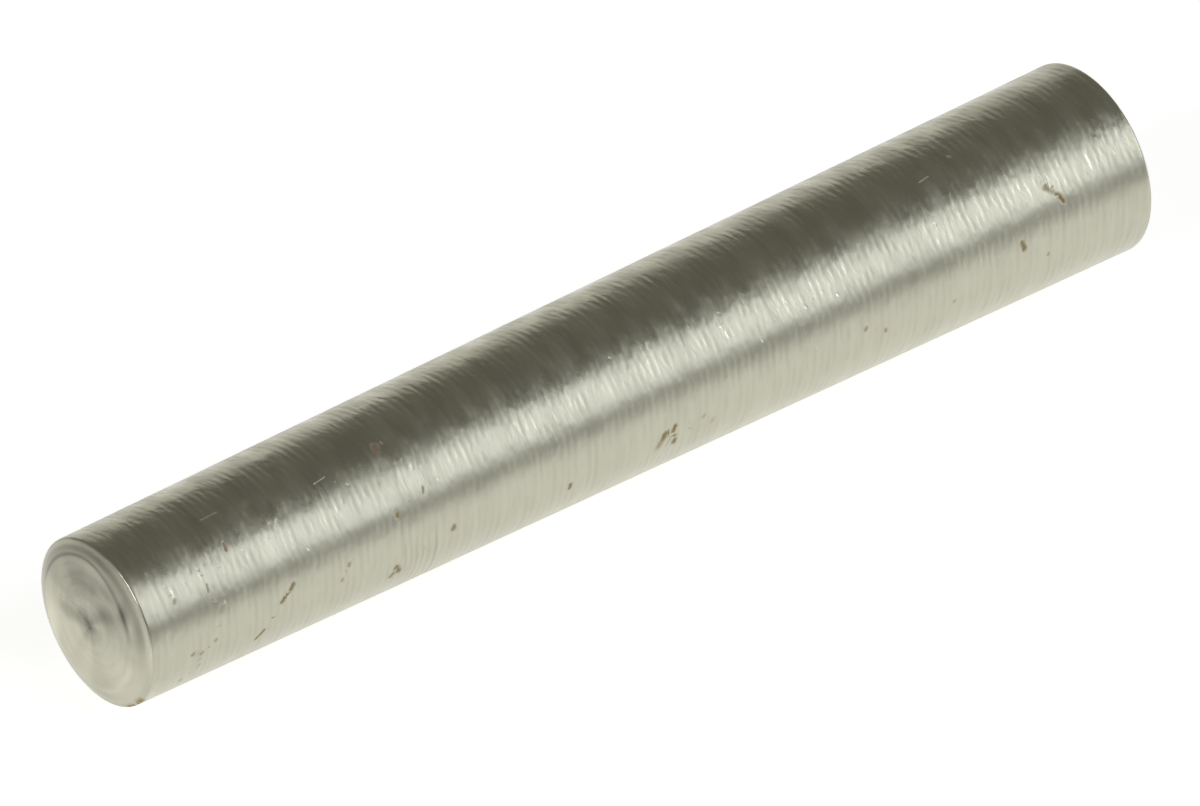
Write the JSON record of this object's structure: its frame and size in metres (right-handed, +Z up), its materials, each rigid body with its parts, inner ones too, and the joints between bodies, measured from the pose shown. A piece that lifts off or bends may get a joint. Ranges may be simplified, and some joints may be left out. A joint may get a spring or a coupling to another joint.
{
  "type": "taper pin",
  "caption": "Plain steel taper pin, tapered 1 in 50 and crowned at both ends, driven into a reamed hole to locate or lock two parts.",
  "frame": {"origin": "gauge point of the taper: the middle of the small end's rim plane, where the diameter is the nominal one", "axes": "+X along the pin's axis from the small end to the large end, +Z up as the pin lies in the picture"},
  "size_m": [0.0359, 0.0056, 0.0056],
  "materials": {
    "turned_steel": "fine turned free-cutting steel, with feed marks round the flank and a few small rust pits"
  },
  "bodies": {
    "root": {"taper_pin": "turned_steel"}
  },
  "joints": []
}
